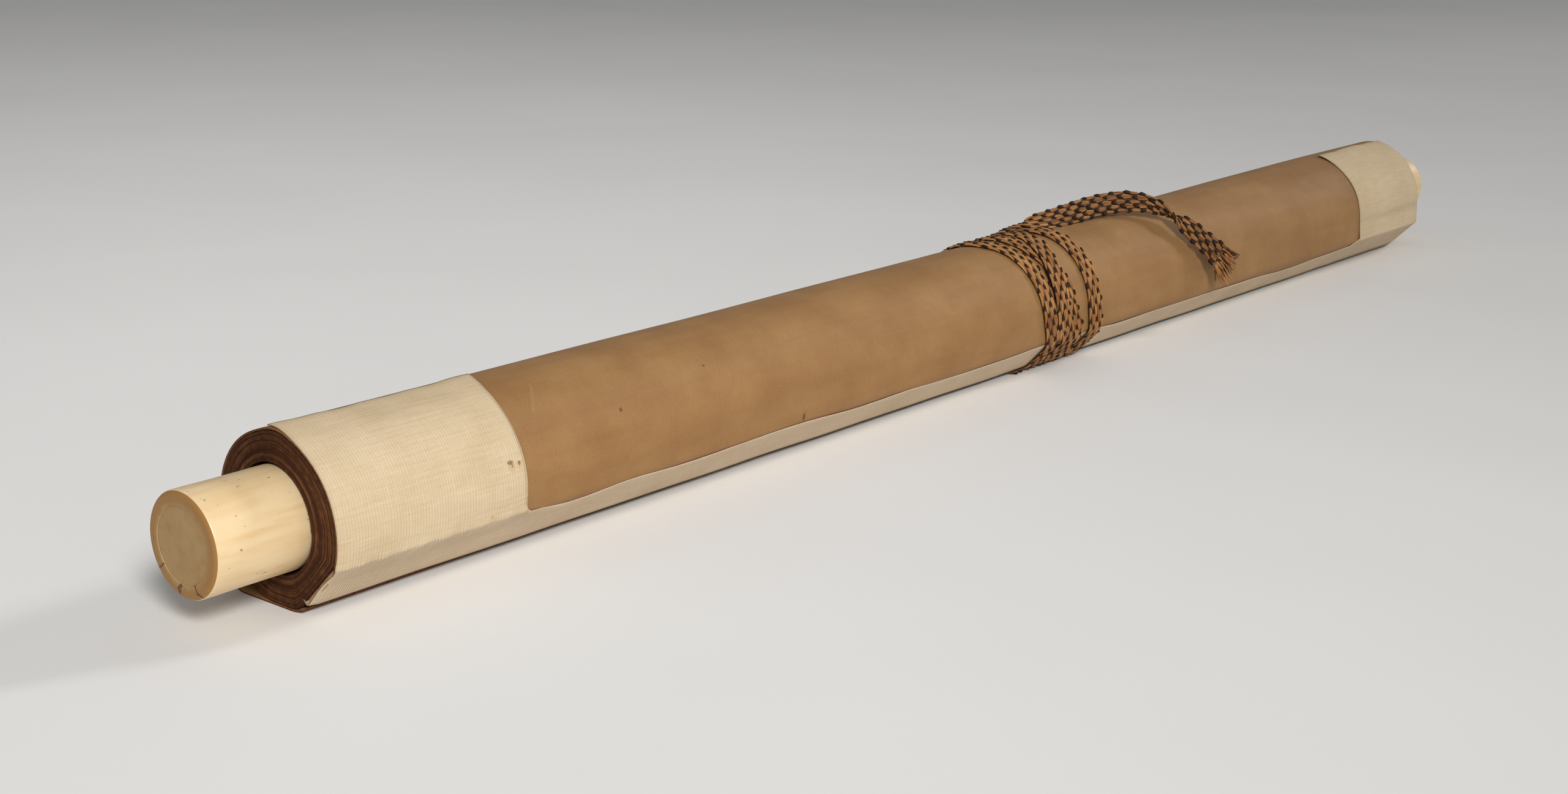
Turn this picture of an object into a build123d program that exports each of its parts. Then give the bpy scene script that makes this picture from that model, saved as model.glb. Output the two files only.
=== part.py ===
from build123d import *
from math import acos, cos, degrees, radians, sin, sqrt, tan
import os

# A scroll rolled up on a wooden roller and tied with a flat cord, lying on its side.
# Millimetres. +X runs along the roll from the left knob to the right one, -Y is the front and +Z is up.
# The origin lies on the table, under the roll's centre line, midway between the two ends of the roll.
# Section angles are measured at the roll's centre from the front upwards: 90 is the top, 180 the back.

# The wound paper
roll_length = 584.0
roll_radius = 20.8
turn_groove_depth = 0.8
turn_gap_share = 0.3
turn_rim = 0.4
turns_shown = 8
points_per_turn = 30

# The outermost turn, faced with silk, loose at the back where it lies on the table
sheet_thickness = 1.2
rest_flat_reach = 4.0
loose_angle = 178.0
loose_bend_radius = 8.0
under_end_angle = 291.0
sheet_tuck = 0.8

# The cream cloth: a band round each end of the cover, and a strip along the leading edge
cloth_thickness = 0.6
end_band_width = 58.5
free_edge_length = 9.0
free_edge_angle_left = 73.0
free_edge_angle_right = 62.0
strip_width = 16.0
strip_top = 9.5
strip_angle = -46.0
crease_lift_left = 0.2
crease_lift_right = 2.6
strip_lip = 1.0
cover_spans = 4

# The stave, a thin slat inside the leading edge
stave_thickness = 1.6
stave_inset = 1.2
stave_end_inset = 1.0
stave_clearance = 0.1

# The roller and its bone knobs
roller_radius = 12.0
roller_back = 1.0
roller_up = 0.4
roller_shift = 1.7
tenon_radius = 9.0
glue_line = 0.05
knob_radius = 13.0
knob_length = 31.0
knob_seat = 4.0
knob_mouth_clearance = 0.4
knob_rim_chamfer = 0.8
plug_radius = 9.4
plug_thickness = 6.0
plug_edge_chamfer = 0.3

# The flat tie cord: three turns side by side, one more set apart, and a free end
cord_width = 8.0
cord_thickness = 0.9
cord_slack = 0.15
coil_turns = 3
coil_pitch = 7.5
coil_centre = 7.5
single_turn_gap = 6.5
tail_radius = 1.2
tail_sides = 8
tail_arc_share = 0.45

# One overrun for every cut
overrun = 5.0

sheet_radius = roll_radius + sheet_thickness
cloth_radius = sheet_radius + cloth_thickness
centre_height = sqrt(sheet_radius**2 - rest_flat_reach**2)
left_end = -roll_length / 2
right_end = roll_length / 2
strip_low = strip_width - strip_top
roller_y = roller_back
roller_z = centre_height + roller_up


def blend(left, right, x):
    """Value at x of something that changes evenly from the left end of the roll to the right one."""
    return left + (right - left) * (x - left_end) / roll_length


def strip_face(x):
    """Distance from the roll's centre to the outer face of the strip, whose crease stands proud."""
    left = sqrt((cloth_radius + crease_lift_left) ** 2 - strip_top**2)
    right = sqrt((cloth_radius + crease_lift_right) ** 2 - strip_top**2)
    return blend(left, right, x)


def leave_angle(x, radius):
    """Where a tight layer of the given radius leaves the roll for the crease at the stave."""
    crease_radius = sqrt(strip_face(x) ** 2 + strip_top**2)
    crease_angle = strip_angle + degrees(acos(strip_face(x) / crease_radius))
    return crease_angle + degrees(acos(radius / crease_radius))


def free_edge_angle(x):
    """Where the upper edge of an end band starts to lift off the roll."""
    return blend(free_edge_angle_left, free_edge_angle_right, x)


def spot(angle, radius):
    """Section point at an angle and a radius from the roll's centre."""
    a = radians(angle)
    return (-radius * cos(a), centre_height + radius * sin(a))


def along(point, angle, distance):
    """Section point moved along the roll's tangent at an angle."""
    a = radians(angle)
    return (point[0] + distance * sin(a), point[1] + distance * cos(a))


def on_strip(out, down):
    """Section point by its distance out to the strip's face and its place down that face."""
    a = radians(strip_angle)
    return (-out * cos(a) - down * sin(a), centre_height + out * sin(a) - down * cos(a))


def arc(radius, start, end):
    """Arc round the roll's centre."""
    return ThreePointArc(spot(start, radius), spot((start + end) / 2, radius), spot(end, radius))


def crease(face, radius, leave):
    """Place down the strip where a tangent of the given radius meets the strip's face."""
    turn = radians(leave - strip_angle)
    return (face * cos(turn) - radius) / sin(turn)


def cover_path(x, depth):
    """Upper part of the cloth's section, from its free edge down to the crease at the stave."""
    radius = cloth_radius - depth
    lift = free_edge_angle(x)
    leave = leave_angle(x, cloth_radius)
    face = strip_face(x) - depth
    fold = on_strip(face, crease(face, radius, leave))
    free_edge = along(spot(lift, radius), lift, free_edge_length)
    return [
        Line(free_edge, spot(lift, radius)),
        arc(radius, lift, leave),
        Line(spot(leave, radius), fold),
    ]


def window_path(x, depth):
    """Stretch of the cloth that the window takes away: past the free edge, down to the strip's lip."""
    radius = cloth_radius - depth
    lift = free_edge_angle(x)
    leave = leave_angle(x, cloth_radius)
    lip = sqrt(strip_face(x) ** 2 + strip_top**2 - cloth_radius**2) - strip_lip
    return [
        Line(along(spot(lift, radius), lift, free_edge_length + overrun), spot(lift, radius)),
        arc(radius, lift, leave),
        Line(spot(leave, radius), along(spot(leave, radius), leave, -lip)),
    ]


def strip_path(x, depth):
    """Lower part of the cloth's section, down the strip and round the lower edge of the stave."""
    face = strip_face(x) - depth
    start = crease(face, cloth_radius - depth, leave_angle(x, cloth_radius))
    low = strip_low - depth
    tucked = strip_face(x) - cloth_thickness - stave_thickness
    return [
        Line(on_strip(face, start), on_strip(face, low)),
        Line(on_strip(face, low), on_strip(tucked, low)),
    ]


def border_path(x, depth):
    """Whole section of the cloth."""
    return cover_path(x, depth) + strip_path(x, depth)


def around(centre, angle, radius):
    """Section point on a round of its own centre."""
    a = radians(angle)
    return (centre[0] - radius * cos(a), centre[1] + radius * sin(a))


def loose_bend_centre():
    """Centre of the bend where the loose sheet turns from the back onto the table."""
    a = radians(loose_angle)
    rise = loose_bend_radius - centre_height
    y = (sin(a) * rise - sheet_radius + loose_bend_radius) / cos(a)
    return (y, loose_bend_radius)


def loose_bend(radius):
    """The bend itself, from the back down to the table."""
    centre = loose_bend_centre()
    middle = (loose_angle + 270) / 2
    return ThreePointArc(
        around(centre, loose_angle, radius), around(centre, middle, radius), around(centre, 270, radius)
    )


def sheet_path(x, depth):
    """Section of the outermost turn, from the stave over the top and the back to the table."""
    radius = sheet_radius - depth
    leave = leave_angle(x, cloth_radius)
    face = strip_face(x) - cloth_thickness
    fold = crease(face, sheet_radius, leave)
    reach = sqrt(face**2 + fold**2 - sheet_radius**2) - sheet_tuck
    bend = loose_bend(loose_bend_radius - depth)
    rest_angle = 270 + degrees(acos((centre_height - depth) / radius))
    return [
        Line(along(spot(leave, radius), leave, -reach), spot(leave, radius)),
        arc(radius, leave, 90),
        arc(radius, 90, loose_angle),
        Line(spot(loose_angle, radius), bend @ 0),
        bend,
        Line(bend @ 1, spot(rest_angle, radius)),
        arc(radius, rest_angle, under_end_angle),
    ]


def ribbon(path, x, shallow, deep):
    """Section between two depths of a path, placed across the roll at x."""
    outer = path(x, shallow)
    inner = path(x, deep)
    ends = [Line(outer[0] @ 0, inner[0] @ 0), Line(outer[-1] @ 1, inner[-1] @ 1)]
    return Plane.YZ.offset(x) * make_face(outer + inner + ends)


def sheet_between(path, start, end, shallow, deep):
    """Sheet of cloth that follows a path along the roll, straight from one section to the next."""
    sections = []
    for step in range(cover_spans + 1):
        x = start + (end - start) * step / cover_spans
        sections.append(ribbon(path, x, shallow, deep))
    return loft(sections, ruled=True)


def slab(x, out_low, out_high, down_low, down_high):
    """Flat section behind the strip, given by its distances out and down."""
    corners = [
        on_strip(out_low, down_low),
        on_strip(out_high, down_low),
        on_strip(out_high, down_high),
        on_strip(out_low, down_high),
    ]
    return Plane.YZ.offset(x) * make_face(Polyline(*corners, close=True))


def rod(radius, start, end):
    """Solid round bar on the roller's axis."""
    return extrude(Plane.YZ.offset(start) * Pos(roller_y, roller_z) * Circle(radius), end - start)


def wound_radius(angle, seat):
    """Outline of the wound paper at an angle, flattened by the stave and by the table."""
    to_stave = cos(radians(angle - strip_angle))
    to_table = -sin(radians(angle))
    radius = roll_radius
    if to_stave > 0:
        radius = min(radius, seat / to_stave)
    if to_table > 0:
        radius = min(radius, (centre_height - sheet_thickness) / to_table)
    return radius


def stave_seat(x):
    """Distance from the roll's centre to the flat that the stave presses into the wound paper."""
    return strip_face(x) - cloth_thickness - stave_thickness - stave_clearance


def mouth_reach(angle):
    """Distance from the roll's centre to the edge of a knob's mouth, which lies round the roller."""
    a = radians(angle)
    ahead = roller_up * sin(a) - roller_back * cos(a)
    aside = roller_up * cos(a) + roller_back * sin(a)
    return ahead + sqrt((knob_radius + knob_mouth_clearance) ** 2 - aside**2)


def turn_edge(x, side):
    """One edge of the spiral gap between the turns on an end face, round inside and flattened outside."""
    seat = stave_seat(x)
    points = []
    for step in range(turns_shown * points_per_turn + 1):
        angle = 360 * step / points_per_turn
        inner = mouth_reach(angle) + turn_rim
        outer = wound_radius(angle, seat) - turn_rim
        turn = step / points_per_turn + side * turn_gap_share / 2
        points.append(spot(angle, inner + (outer - inner) * turn / turns_shown))
    return Polyline(*points)


def turn_groove(x, direction):
    """Spiral cut that shows the turns on the end face at x."""
    inner = turn_edge(x, -1)
    outer = turn_edge(x, 1)
    ends = [Line(inner @ 0, outer @ 0), Line(inner @ 1, outer @ 1)]
    face = make_face(inner.edges() + outer.edges() + ends)
    return extrude(Plane.YZ.offset(x) * face, direction * turn_groove_depth)


def make_scroll_roll():
    """The wound paper, with the roller's bore, a mouth for each knob and the turns on both ends."""
    table_cut = Pos(0, sheet_thickness) * Rectangle(
        2 * roll_radius, roll_radius, align=(Align.CENTER, Align.MAX)
    )
    profile = Pos(0, centre_height) * Circle(roll_radius) - table_cut
    roll = extrude(Plane.YZ.offset(left_end) * profile, roll_length)
    seat_ends = []
    for x in (left_end, right_end):
        seat_ends.append(slab(x, stave_seat(x), 2 * roll_radius, -roll_radius, roll_radius))
    roll -= loft(seat_ends, ruled=True)
    roll -= rod(roller_radius + glue_line, left_end - overrun, right_end + overrun)
    mouth_radius = knob_radius + knob_mouth_clearance
    mouth_depth = knob_seat + knob_mouth_clearance
    roll -= rod(mouth_radius, left_end - overrun, left_end + mouth_depth + roller_shift)
    roll -= rod(mouth_radius, right_end - mouth_depth + roller_shift, right_end + overrun)
    roll -= turn_groove(left_end, 1)
    roll -= turn_groove(right_end, -1)
    return roll


def make_cover_sheet():
    """The silk-faced outermost turn, pressed in where the cord passes under it."""
    sheet = sheet_between(sheet_path, left_end, right_end, 0, sheet_thickness - glue_line)
    for start, width in cord_rings():
        sheet -= cord_relief(start, width)
    return sheet


def make_cover_border():
    """The cream cloth, one frame: full-length strip, and a band at each end above it."""
    border = sheet_between(border_path, left_end, right_end, 0, cloth_thickness - glue_line)
    window_left = left_end + end_band_width
    window_right = right_end - end_band_width
    window = sheet_between(window_path, window_left, window_right, -cloth_thickness, 2 * cloth_thickness)
    border -= window
    for start, width in cord_rings():
        border -= cord_relief(start, width)
    return border


def make_stave():
    """The slat in the leading edge, behind the strip."""
    ends = []
    for x in (left_end + stave_end_inset, right_end - stave_end_inset):
        out_high = strip_face(x) - cloth_thickness - glue_line
        down_low = stave_inset - strip_top
        down_high = strip_low - cloth_thickness - glue_line
        ends.append(slab(x, out_high - stave_thickness, out_high, down_low, down_high))
    return loft(ends, ruled=True)


def make_roller():
    """The wooden roller, with a tenon into each knob."""
    tenon_length = knob_length - plug_thickness - glue_line
    start = left_end + knob_seat + roller_shift
    end = right_end - knob_seat + roller_shift
    body = rod(roller_radius, start, end)
    return body + rod(tenon_radius, start - tenon_length, end + tenon_length)


def knob_face_x(direction):
    """Place of a knob's outer face: -1 for the left knob and 1 for the right one."""
    return direction * (roll_length / 2 - knob_seat + knob_length) + roller_shift


def make_knob(direction):
    """A turned bone tube that caps one end of the roller, with its rim broken."""
    face_x = knob_face_x(direction)
    root_x = face_x - direction * knob_length
    tube = rod(knob_radius, min(face_x, root_x), max(face_x, root_x))
    rim = tube.edges().filter_by(GeomType.CIRCLE).sort_by(Axis.X)
    tube = chamfer(rim[-1] if direction > 0 else rim[0], knob_rim_chamfer)
    return tube - rod(plug_radius, min(face_x, root_x) - overrun, max(face_x, root_x) + overrun)


def make_knob_plug(direction):
    """The plug that closes the end of a knob, flush with its face."""
    face_x = knob_face_x(direction)
    back_x = face_x - direction * plug_thickness
    plug = rod(plug_radius - glue_line, min(face_x, back_x), max(face_x, back_x))
    rim = plug.edges().filter_by(GeomType.CIRCLE).sort_by(Axis.X)
    return chamfer(rim[-1] if direction > 0 else rim[0], plug_edge_chamfer)


def cord_rings():
    """Start and width along the roll of the coil and of the single turn beside it."""
    coil_width = (coil_turns - 1) * coil_pitch + cord_width
    coil_start = coil_centre - coil_width / 2
    return [(coil_start, coil_width), (coil_start + coil_width + single_turn_gap, cord_width)]


def cord_relief(start, width):
    """Room under the roll for a stretch of cord that is pressed into the soft sheet."""
    depth = 4 * cloth_radius
    block = Box(width, depth, cord_thickness + overrun, align=(Align.MIN, Align.CENTER, Align.MAX))
    return Pos(start, 0, cord_thickness) * block


def wrap_outline(x, depth):
    """Closed outline of the tied scroll at x, with the cord's tight run over the stave's crease."""
    radius = sheet_radius - depth
    face = strip_face(x) - depth
    leave = leave_angle(x, sheet_radius)
    corner = on_strip(face, crease(face, radius, leave))
    low = on_strip(face, strip_low - depth)
    rest = (-rest_flat_reach, depth)
    bend = loose_bend(loose_bend_radius - depth)
    edges = [
        Line(spot(leave, radius), corner),
        Line(corner, low),
        Line(low, rest),
        Line(rest, bend @ 1),
        bend,
        Line(bend @ 0, spot(loose_angle, radius)),
        arc(radius, loose_angle, leave),
    ]
    return make_face(edges)


def below(height):
    """Part of the section that lies below a height."""
    side = 4 * cloth_radius
    return Pos(0, height) * Rectangle(side, side, align=(Align.CENTER, Align.MAX))


def make_cord_ring(start, width):
    """Outer shape of tight turns of the cord, flat on the table underneath."""
    x = start + width / 2
    outer = wrap_outline(x, -cord_thickness - cord_slack) - below(0)
    inner = wrap_outline(x, -cord_slack) - below(cord_thickness)
    return extrude(Plane.YZ.offset(start) * (outer - inner), width)


def tail_route():
    """The free end of the cord: off the single turn, along in a low arch and down in front of the roll."""
    start, width = cord_rings()[1]
    leaves_turn = (start + width, 1.0, 44.9)
    return [
        leaves_turn,
        (46.0, 0.6, 48.6),
        (62.0, -1.5, 49.6),
        (76.0, -7.0, 49.4),
        (86.0, -14.0, 46.6),
        (91.0, -20.5, 40.6),
        (96.5, -26.0, 33.0),
        (101.5, -28.5, 25.5),
    ]


def tangent_radii(points):
    """The largest arc that fits at each corner of the route."""
    radii = []
    for before, here, after in zip(points, points[1:], points[2:]):
        arrive = Vector(*here) - Vector(*before)
        depart = Vector(*after) - Vector(*here)
        half_turn = radians(arrive.get_angle(depart)) / 2
        radii.append(tail_arc_share * min(arrive.length, depart.length) / tan(half_turn))
    return radii


def make_cord_tail():
    """Plain stand-in for the cord's free end, a bar of a few sides."""
    route = tail_route()
    radii = tangent_radii(route)
    path = FilletPolyline(*route, radius=radii)
    section = Plane(path @ 0, z_dir=path % 0) * RegularPolygon(tail_radius, tail_sides)
    tail = sweep(section, path=path)
    print("tail radii", [round(radius, 1) for radius in radii])
    print("tail volume against section times length", tail.volume / (section.area * path.length))
    return tail


coil, single_turn = cord_rings()
parts = {
    "scroll_roll": make_scroll_roll(),
    "cover_sheet": make_cover_sheet(),
    "cover_border": make_cover_border(),
    "stave": make_stave(),
    "roller": make_roller(),
    "left_knob": make_knob(-1),
    "right_knob": make_knob(1),
    "left_knob_plug": make_knob_plug(-1),
    "right_knob_plug": make_knob_plug(1),
    "tie_cord_coil": make_cord_ring(*coil),
    "tie_cord_turn": make_cord_ring(*single_turn),
    "tie_cord_tail": make_cord_tail(),
}

os.makedirs("parts", exist_ok=True)
for name, part in parts.items():
    export_step(part, f"parts/{name}.step")
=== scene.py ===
import math
import random

import bpy
from mathutils import Matrix, Vector


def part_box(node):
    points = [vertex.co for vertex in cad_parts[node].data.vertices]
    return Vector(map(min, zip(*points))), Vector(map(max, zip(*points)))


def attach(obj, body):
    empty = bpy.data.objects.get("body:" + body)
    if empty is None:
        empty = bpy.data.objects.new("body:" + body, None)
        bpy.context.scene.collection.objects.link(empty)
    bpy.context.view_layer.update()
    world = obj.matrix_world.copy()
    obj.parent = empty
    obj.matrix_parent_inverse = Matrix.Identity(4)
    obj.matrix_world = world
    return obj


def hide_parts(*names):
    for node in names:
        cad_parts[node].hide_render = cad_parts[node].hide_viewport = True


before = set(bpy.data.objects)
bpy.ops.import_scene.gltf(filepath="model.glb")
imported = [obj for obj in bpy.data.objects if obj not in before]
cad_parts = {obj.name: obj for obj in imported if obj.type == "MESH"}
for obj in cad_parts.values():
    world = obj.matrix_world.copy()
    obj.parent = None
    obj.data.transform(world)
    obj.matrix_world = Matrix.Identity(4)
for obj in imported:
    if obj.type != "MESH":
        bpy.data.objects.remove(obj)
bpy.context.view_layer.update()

# A rolled scroll tied with a flat braid, in the frame of the CAD model: +X along the roll, -Y the front
# and +Z up. Lengths are in metres and angles in degrees. Section angles run from the front upwards: 90 is
# the top and 180 the back.

# The roll, from the frame
LEFT_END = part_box("scroll_roll")[0].x
RIGHT_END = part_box("scroll_roll")[1].x
ROLL_LENGTH = RIGHT_END - LEFT_END
SHEET_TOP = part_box("cover_sheet")[1].z
REST_REACH = 0.004
SHEET_RADIUS = (SHEET_TOP**2 + REST_REACH**2) / (2 * SHEET_TOP)
CENTRE_HEIGHT = SHEET_TOP - SHEET_RADIUS

# The cover
SHEET_THICKNESS = 0.0012
ROLL_RADIUS = SHEET_RADIUS - SHEET_THICKNESS
SHEET_STATIONS = 240
SHEET_FOLD_ROW = 4  # row of its section on the fold at the stave
SHEET_FRONT_ROWS = 60  # rows of its section on the front and the top
SHEET_SINK = 0.00042  # depth of its bare fold below the strip's face
SHEET_UNDER = 0.0015  # how far it runs on under the strip
SHEET_TURN_IN = 0.0004  # how far it runs on past the fold under the bands
LOOSE_ANGLE = 178
LOOSE_BEND_RADIUS = 0.008
UNDER_END_ANGLE = 291
GLUE_LINE = 0.00005
EDGE_SHARE = 0.4  # share of its thickness that a sheet keeps at a cut edge
FOLD_SHARE = 0.3
EDGE_TAPER = 0.006

# The cloth: two end bands and the strip over the stave
CLOTH_THICKNESS = 0.0006
CLOTH_RADIUS = SHEET_RADIUS + CLOTH_THICKNESS
CLOTH_TAPER = 0.003
END_BAND_WIDTH = 0.0585
INNER_LEFT = LEFT_END + END_BAND_WIDTH
INNER_RIGHT = RIGHT_END - END_BAND_WIDTH
BAND_SHIFT_RIGHT = 0.0018
FREE_EDGE_FROM_LEFT = 56
FREE_EDGE_FROM_RIGHT = 52
FREE_EDGE_TO_LEFT = 93
FREE_EDGE_TO_RIGHT = 84
# Height of the bands' free upper edge along the roll
FREE_EDGE_LIFT = [
    (LEFT_END, 0.00015),
    (INNER_LEFT, 0.0009),
    (INNER_RIGHT, 0.0006),
    (RIGHT_END - END_BAND_WIDTH / 2, 0.0011),
    (RIGHT_END, 0.0004),
]
STRIP_WIDTH = 0.016
STRIP_TOP = 0.0095
STRIP_LOW = STRIP_WIDTH - STRIP_TOP
STRIP_ANGLE = -46
STRIP_LIP = 0.001
STRIP_CURL = 0.0002
# How far below the crease the strip's upper edge lies, along the roll
STRIP_DROP = [
    (INNER_LEFT, 0.0001), (-0.215, 0.0025), (-0.194, 0.0009), (-0.176, 0.0021), (-0.1276, 0.0006),
    (-0.096, 0.0029), (-0.073, 0.0021), (-0.052, 0.0032), (-0.017, 0.0029), (0.0025, 0.0017),
    (0.0367, 0.002), (0.05, 0.0032), (0.112, 0.0028), (0.142, 0.0031), (0.178, 0.0048), (0.21, 0.0034),
    (INNER_RIGHT, 0.0024),
]
PUCKER_END = LEFT_END + 0.075
PUCKER_FADE = 0.02
CREASE_LIFT_LEFT = 0.0002
CREASE_LIFT_RIGHT = 0.0026
STAVE_THICKNESS = 0.0016
STAVE_CLEARANCE = 0.0001

# Weave, in millimetres
MM = 1000
RIB_PITCH = 0.87
TWILL_PITCH = 0.62

# The roller's axis and the knobs, from the frame
KNOB_LOW, KNOB_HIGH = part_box("left_knob")
AXIS_Y = (KNOB_LOW.y + KNOB_HIGH.y) / 2
AXIS_Z = (KNOB_LOW.z + KNOB_HIGH.z) / 2
KNOB_RADIUS = (KNOB_HIGH.y - KNOB_LOW.y) / 2
KNOB_LENGTH = KNOB_HIGH.x - KNOB_LOW.x
KNOB_RIM = 0.0012
KNOB_FACE_DEPTH = 0.00055
PLUG_RADIUS = 0.0094
ROLLER_RADIUS = 0.01205
MOUTH_CLEARANCE = 0.0004
MOUTH_DEPTH = 0.0061

# The end faces of the roll
TURNS = 28
TURN_COLUMNS = 160
TURN_DEPTH = 0.0005
TURN_RAGGED = 0.00022
TURN_TOP = (0.22, 0.84)  # shares of a turn's width between which its edge is flat
RIM_DEPTH = 0.00005

# The cord
CORD_THICKNESS = 0.0009
CORD_REST = 0.0004
BRAID_WIDTH = 0.0074
BRAID_ROW = 0.0031
BRAID_COLUMN = 0.00178
BASE_HALF_THICKNESS = 0.00028
YARN_RADIUS = 0.00027
MARK_RADIUS = 0.00043
FRINGE_YARNS = 130
FRINGE_START = 0.0045
FRINGE_RADIUS = 0.00026


# Shape helpers


def blend(left, right, x):
    """Value at x of something that changes evenly along the roll."""
    return left + (right - left) * (x - LEFT_END) / ROLL_LENGTH


def smooth(low, high, value):
    """Smooth step from 0 at low to 1 at high."""
    t = min(max((value - low) / (high - low), 0), 1)
    return t * t * (3 - 2 * t)


def bump(centre, reach, value):
    """Soft bump of height 1."""
    t = (value - centre) / reach
    return math.exp(-t * t)


def wave(seed, *terms):
    """Mean of a few sines, one for each place given with its wavelength, from -1 to 1."""
    total = 0
    for number, (place, length) in enumerate(terms):
        total += math.sin(2 * math.pi * place / length + seed * 1.7 + number * 2.3)
    return total / len(terms)


def table_value(pairs, at):
    """Straight interpolation in a list of (place, value)."""
    if at <= pairs[0][0]:
        return pairs[0][1]
    for (a, va), (b, vb) in zip(pairs, pairs[1:]):
        if at <= b:
            return va + (vb - va) * (at - a) / (b - a)
    return pairs[-1][1]


def strip_face(x):
    """Distance from the roll's centre to the strip's outer face."""
    left = math.sqrt((CLOTH_RADIUS + CREASE_LIFT_LEFT) ** 2 - STRIP_TOP**2)
    right = math.sqrt((CLOTH_RADIUS + CREASE_LIFT_RIGHT) ** 2 - STRIP_TOP**2)
    return blend(left, right, x)


def leave_angle(x, radius):
    """Where a tight layer leaves the roll for the crease at the stave."""
    crease_radius = math.hypot(strip_face(x), STRIP_TOP)
    crease_angle = STRIP_ANGLE + math.degrees(math.acos(strip_face(x) / crease_radius))
    return crease_angle + math.degrees(math.acos(radius / crease_radius))


def around(centre, angle, radius):
    """Section point on a circle."""
    a = math.radians(angle)
    return (centre[0] - radius * math.cos(a), centre[1] + radius * math.sin(a))


def spot(angle, radius):
    """Section point round the roll's centre."""
    a = math.radians(angle)
    return (-radius * math.cos(a), CENTRE_HEIGHT + radius * math.sin(a))


def along(point, angle, distance):
    """Section point further on round the roll, straight on from a point at an angle."""
    a = math.radians(angle)
    return (point[0] + distance * math.sin(a), point[1] + distance * math.cos(a))


def on_strip(out, down):
    """Section point out from the roll's centre towards the strip, and down along the strip."""
    a = math.radians(STRIP_ANGLE)
    return (
        -out * math.cos(a) - down * math.sin(a),
        CENTRE_HEIGHT + out * math.sin(a) - down * math.cos(a),
    )


def crease(face, radius, leave):
    """How far down the strip a layer that leaves the roll meets a face."""
    turn = math.radians(leave - STRIP_ANGLE)
    return (face * math.cos(turn) - radius) / math.sin(turn)


def loose_bend_centre():
    """Centre of the bend where the loose sheet at the back meets the table."""
    a = math.radians(LOOSE_ANGLE)
    rise = LOOSE_BEND_RADIUS - CENTRE_HEIGHT
    y = (math.sin(a) * rise - SHEET_RADIUS + LOOSE_BEND_RADIUS) / math.cos(a)
    return (y, LOOSE_BEND_RADIUS)


def section_angle(y, z):
    return math.degrees(math.atan2(z - CENTRE_HEIGHT, -y))


def outward(y, z):
    return Vector((y, z - CENTRE_HEIGHT)).normalized()


def line_points(start, end, count):
    """Points from start towards end, without the end."""
    points = []
    for i in range(count):
        t = i / count
        points.append((start[0] + (end[0] - start[0]) * t, start[1] + (end[1] - start[1]) * t))
    return points


def arc_points(radius, start, end, count):
    """Points of an arc round the roll's centre, without the end."""
    return [spot(start + (end - start) * i / count, radius) for i in range(count)]


def lengths(points):
    """Distance run along a section at each of its points."""
    total = [0.0]
    for a, b in zip(points, points[1:]):
        total.append(total[-1] + math.dist(a, b))
    return total


def softened(points, passes):
    """Section with its corners eased."""
    for _ in range(passes):
        eased = [points[0]]
        for a, b, c in zip(points, points[1:], points[2:]):
            eased.append(tuple(0.25 * a[i] + 0.5 * b[i] + 0.25 * c[i] for i in range(2)))
        eased.append(points[-1])
        points = eased
    return points


def edge_share(distance, reach):
    """Share of its thickness that a sheet has at a distance from a cut edge."""
    return EDGE_SHARE + (1 - EDGE_SHARE) * smooth(0, reach, distance)


def make_object(name, verts, faces, materials, kinds=None, uvs=None, tones=None, smooth_faces=True):
    """Mesh object from plain lists, with its weave coordinates in millimetres and a tone at each point."""
    mesh = bpy.data.meshes.new(name)
    mesh.from_pydata([tuple(v) for v in verts], [], faces)
    for material in materials:
        mesh.materials.append(material)
    mesh.polygons.foreach_set("use_smooth", [smooth_faces] * len(mesh.polygons))
    if kinds:
        mesh.polygons.foreach_set("material_index", kinds)
    if uvs:
        layer = mesh.uv_layers.new(name="weave")
        flat = []
        for loop in mesh.loops:
            flat.extend(uvs[loop.vertex_index])
        layer.data.foreach_set("uv", flat)
    if tones:
        mesh.attributes.new("tone", "FLOAT", "POINT").data.foreach_set("value", tones)
    mesh.update()
    obj = bpy.data.objects.new(name, mesh)
    bpy.context.scene.collection.objects.link(obj)
    return obj


def thicken(sheet, thickness, edge_offset, shares):
    """Gives a sheet its thickness inwards, by the share at each point, and its cut edges their material."""
    taper = sheet.vertex_groups.new(name="taper")
    for number, share in enumerate(shares):
        taper.add([number], share, "REPLACE")
    thick = sheet.modifiers.new("thickness", "SOLIDIFY")
    thick.thickness = thickness - GLUE_LINE
    thick.offset = -1
    thick.material_offset_rim = edge_offset
    thick.vertex_group = "taper"


def finish_piece(obj, slot, *nodes):
    """Every piece rides on the one body; most stand for CAD nodes."""
    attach(obj, "root")
    if nodes:
        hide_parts(*nodes)
    return obj


# Materials


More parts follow.
